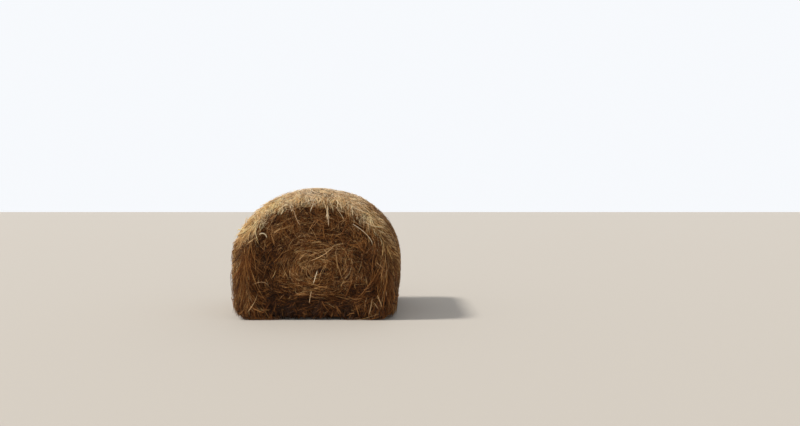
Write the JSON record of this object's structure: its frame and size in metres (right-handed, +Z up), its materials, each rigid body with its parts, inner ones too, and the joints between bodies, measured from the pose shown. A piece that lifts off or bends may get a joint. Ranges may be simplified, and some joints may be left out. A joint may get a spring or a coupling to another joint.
{
  "type": "round bale of hay",
  "caption": "Large round bale of hay lying on its rolled side, settled flat underneath, with swirled ends, twine creases and a loose fringe.",
  "frame": {"origin": "on the ground under the middle of the roll, at the bottom centre of the whole bale", "axes": "+Z up, Y along the roll's axis from the nearer end to the farther end, +X to the right when the nearer end is faced"},
  "size_m": [2, 1.56, 1.54],
  "materials": {
    "weathered_hay": "sun-bleached dry grass, matt, stalks lying round the roll",
    "end_hay": "dry grass on the ends of the roll, matt, brown, stalks swirled round the core",
    "twine": "twisted plant-fibre twine, matt, dry"
  },
  "bodies": {
    "root": {"core": "end_hay", "outer_turn": "weathered_hay", "turn_01": "end_hay", "turn_02": "end_hay", "turn_03": "end_hay", "turn_04": "end_hay", "turn_05": "end_hay", "turn_06": "end_hay", "turn_07": "end_hay", "turn_08": "end_hay", "turn_09": "end_hay", "turn_10": "end_hay", "turn_11": "end_hay", "twine_wrap_01": "twine", "twine_wrap_02": "twine", "twine_wrap_03": "twine", "twine_wrap_04": "twine", "twine_wrap_05": "twine", "twine_wrap_06": "twine", "twine_wrap_07": "twine", "twine_wrap_08": "twine", "twine_wrap_09": "twine", "twine_wrap_10": "twine", "fringe_left": "weathered_hay", "fringe_right": "weathered_hay"}
  },
  "joints": []
}
